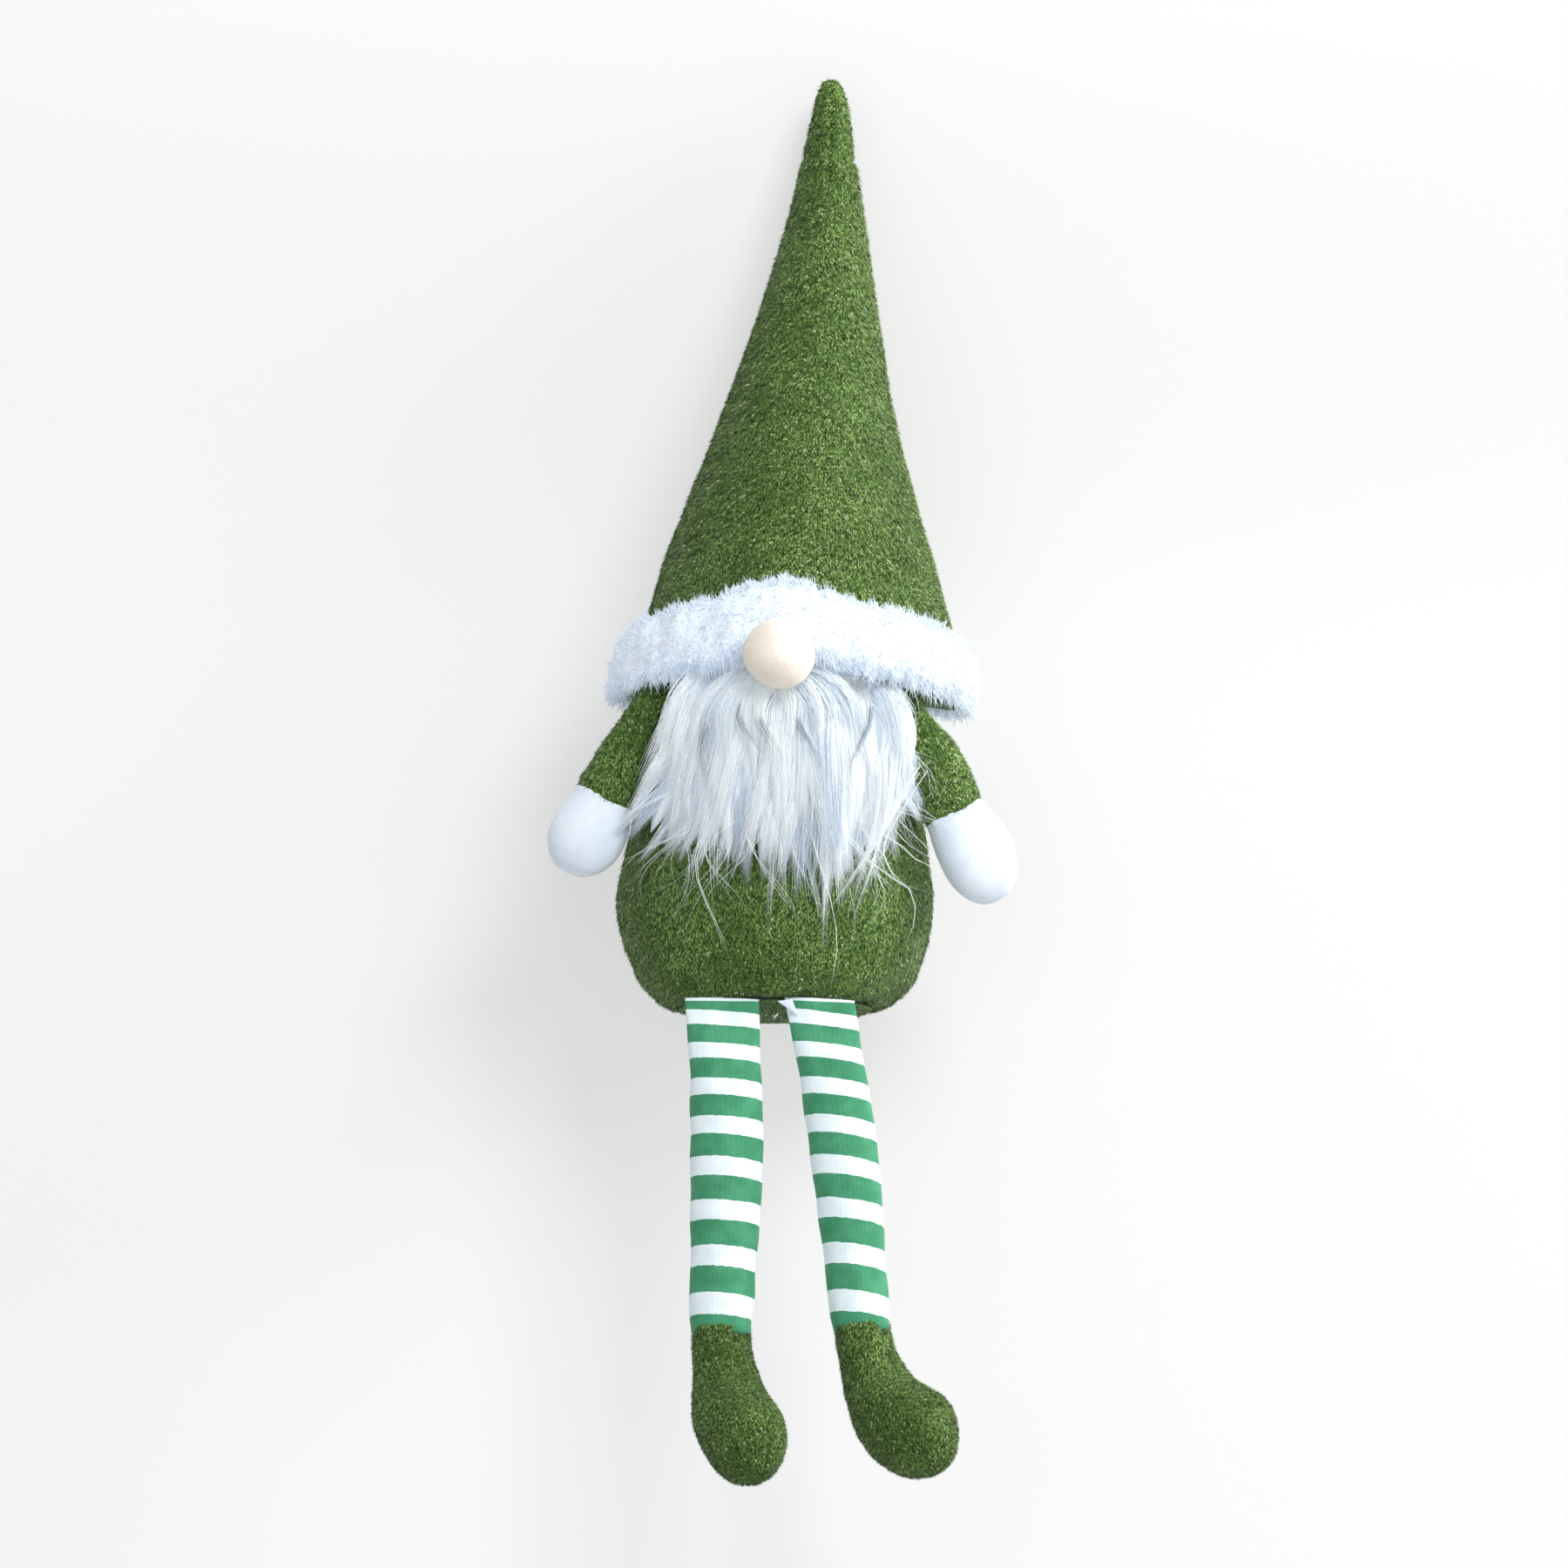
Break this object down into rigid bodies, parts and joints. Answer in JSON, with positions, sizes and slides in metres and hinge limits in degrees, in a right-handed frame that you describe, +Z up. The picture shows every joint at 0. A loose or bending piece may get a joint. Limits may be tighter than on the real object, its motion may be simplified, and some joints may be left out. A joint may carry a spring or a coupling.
{
  "type": "plush gnome shelf sitter",
  "caption": "Stuffed tomte gnome with a tall pointed hat, fur band, ball nose, long beard, mittens and striped legs in soft boots that dangle from a shelf.",
  "frame": {"origin": "centre of the flat seat under the body, where it rests on a shelf", "axes": "+Z up to the hat's tip, the gnome faces -Y, +X is the gnome's own left"},
  "size_m": [0.1663, 0.1367, 0.5065],
  "materials": {
    "green_plush": "short olive green pile",
    "white_fleece": "smooth white fleece",
    "long_fur": "long white faux fur",
    "knit_backing": "white knit backing cloth",
    "striped_knit": "green and white striped jersey",
    "white_hem": "folded white jersey hem",
    "nose_felt": "cream brushed felt",
    "stuffing": "polyester fibre",
    "pouch_cloth": "plain woven lining",
    "pellets": "small plastic pellets"
  },
  "bodies": {
    "torso": {"body_front_panel": "green_plush", "body_back_panel": "green_plush", "base_panel": "green_plush", "pellet_bag": "pouch_cloth", "pellet_fill": "pellets", "body_stuffing": "stuffing", "hat_cone": "green_plush", "hat_stuffing": "stuffing", "hat_trim_backing": "knit_backing", "hat_trim_pile": "long_fur", "beard_backing": "knit_backing", "beard_pile": "long_fur", "nose_cover": "nose_felt", "nose_stuffing": "stuffing"},
    "hat_tip": {"hat_tip_cap": "green_plush", "hat_tip_stuffing": "stuffing"},
    "right_shoulder": {"right_shoulder_tab": "green_plush"},
    "right_arm": {"right_sleeve": "green_plush", "right_mitten": "white_fleece", "right_arm_stuffing": "stuffing"},
    "right_hip": {"right_leg_hem": "white_hem"},
    "right_leg": {"right_stocking": "striped_knit", "right_leg_stuffing": "stuffing"},
    "right_boot": {"right_boot_inner_panel": "green_plush", "right_boot_outer_panel": "green_plush", "right_boot_stuffing": "stuffing"},
    "left_shoulder": {"left_shoulder_tab": "green_plush"},
    "left_arm": {"left_sleeve": "green_plush", "left_mitten": "white_fleece", "left_arm_stuffing": "stuffing"},
    "left_hip": {"left_leg_hem": "white_hem"},
    "left_leg": {"left_stocking": "striped_knit", "left_leg_stuffing": "stuffing"},
    "left_boot": {"left_boot_inner_panel": "green_plush", "left_boot_outer_panel": "green_plush", "left_boot_stuffing": "stuffing"}
  },
  "joints": [
    {"name": "hat_tip_bend", "type": "hinge", "parent": "torso", "child": "hat_tip", "pos_m": [0.0193, 0.0129, 0.3128], "axis": [1, 0, 0], "range_deg": [-75, 75], "stiffness_Nm_per_rad": 0.003},
    {"name": "right_shoulder_swing", "type": "hinge", "parent": "torso", "child": "right_shoulder", "pos_m": [-0.04, -0.026, 0.1134], "axis": [-1, 0, 0], "range_deg": [-30, 80]},
    {"name": "right_shoulder_lift", "type": "hinge", "parent": "right_shoulder", "child": "right_arm", "pos_m": [-0.04, -0.026, 0.1134], "axis": [0, 1, 0], "range_deg": [0, 63]},
    {"name": "right_hip_swing", "type": "hinge", "parent": "torso", "child": "right_hip", "pos_m": [-0.0185, -0.0346, 0.0004], "axis": [-1, 0, 0], "range_deg": [-25, 85]},
    {"name": "right_hip_splay", "type": "hinge", "parent": "right_hip", "child": "right_leg", "pos_m": [-0.0185, -0.03416, -0.0191], "axis": [0, 0.9997, 0.0227], "range_deg": [-2.5, 12], "stiffness_Nm_per_rad": 0.05, "springref_deg": -0.16},
    {"name": "right_ankle_flex", "type": "hinge", "parent": "right_leg", "child": "right_boot", "pos_m": [-0.0185, -0.03183, -0.12157], "axis": [-0.866, -0.4999, -0.0113], "range_deg": [-20, 25], "stiffness_Nm_per_rad": 0.03, "springref_deg": 0.5},
    {"name": "left_shoulder_swing", "type": "hinge", "parent": "torso", "child": "left_shoulder", "pos_m": [0.0445, -0.026, 0.106], "axis": [-1, 0, 0], "range_deg": [-30, 80]},
    {"name": "left_shoulder_lift", "type": "hinge", "parent": "left_shoulder", "child": "left_arm", "pos_m": [0.0445, -0.026, 0.106], "axis": [0, -1, 0], "range_deg": [0, 63]},
    {"name": "left_hip_swing", "type": "hinge", "parent": "torso", "child": "left_hip", "pos_m": [0.0185, -0.0346, 0.0004], "axis": [-1, 0, 0], "range_deg": [-25, 85]},
    {"name": "left_hip_splay", "type": "hinge", "parent": "left_hip", "child": "left_leg", "pos_m": [0.0185, -0.03416, -0.0191], "axis": [0, -0.9997, -0.0227], "range_deg": [-4.5, 8], "stiffness_Nm_per_rad": 0.05, "springref_deg": 1.14},
    {"name": "left_ankle_flex", "type": "hinge", "parent": "left_leg", "child": "left_boot", "pos_m": [0.0317, -0.03185, -0.12072], "axis": [-0.6374, -0.764, -0.1001], "range_deg": [-20, 25], "stiffness_Nm_per_rad": 0.03, "springref_deg": 0.66}
  ]
}
